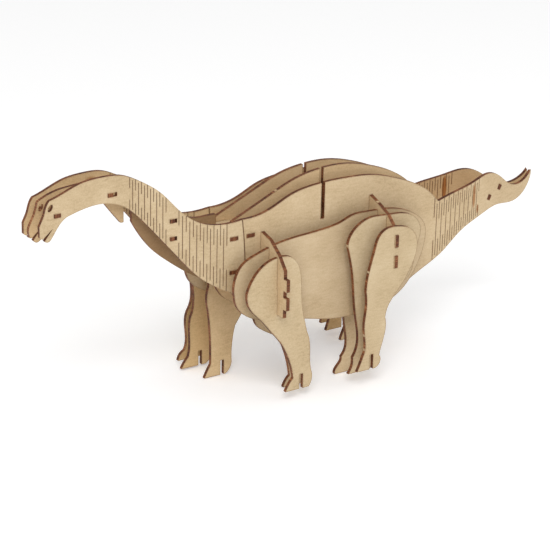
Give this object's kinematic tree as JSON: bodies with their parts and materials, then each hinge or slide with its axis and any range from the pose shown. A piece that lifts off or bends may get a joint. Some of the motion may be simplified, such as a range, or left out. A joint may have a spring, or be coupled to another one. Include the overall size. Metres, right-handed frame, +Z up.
{
  "type": "wooden 3d jigsaw model",
  "caption": "Slot-together wooden puzzle of a long-necked dinosaur, cut from thin sheet, with bent neck and tail panels.",
  "frame": {"origin": "middle of the overall box in plan, at the level of the lowest soles", "axes": "+X from the head towards the tail, +Y towards the animal's right side, +Z up"},
  "size_m": [0.4728, 0.1216, 0.1981],
  "materials": {
    "body_sheet": "raw fibreboard, burnt cut edges",
    "neck_sheet": "raw fibreboard, burnt cut edges",
    "leg_sheet": "raw fibreboard, burnt cut edges",
    "cross_sheet": "raw fibreboard, burnt cut edges"
  },
  "bodies": {
    "root": {"crest_spreader": "cross_sheet", "flank_left": "body_sheet", "flank_right": "body_sheet", "head_plate": "neck_sheet", "head_spreader": "cross_sheet", "inner_left": "body_sheet", "inner_right": "body_sheet", "leg_front_left_middle": "leg_sheet", "leg_front_right_middle": "leg_sheet", "leg_front_right_outer": "leg_sheet", "leg_rear_left_middle": "leg_sheet", "leg_rear_left_outer": "leg_sheet", "leg_rear_right_middle": "leg_sheet", "leg_rear_right_outer": "leg_sheet", "neck_left": "neck_sheet", "neck_plate": "neck_sheet", "neck_right": "neck_sheet", "neck_spreader_lower": "cross_sheet", "neck_spreader_upper": "cross_sheet", "rib_front": "cross_sheet", "rib_rear": "cross_sheet", "shoulder_joiner_lower": "cross_sheet", "shoulder_joiner_upper": "cross_sheet", "side_left": "body_sheet", "side_right": "body_sheet", "tail_spreader_front": "cross_sheet", "tail_spreader_rear": "cross_sheet"}
  },
  "joints": []
}
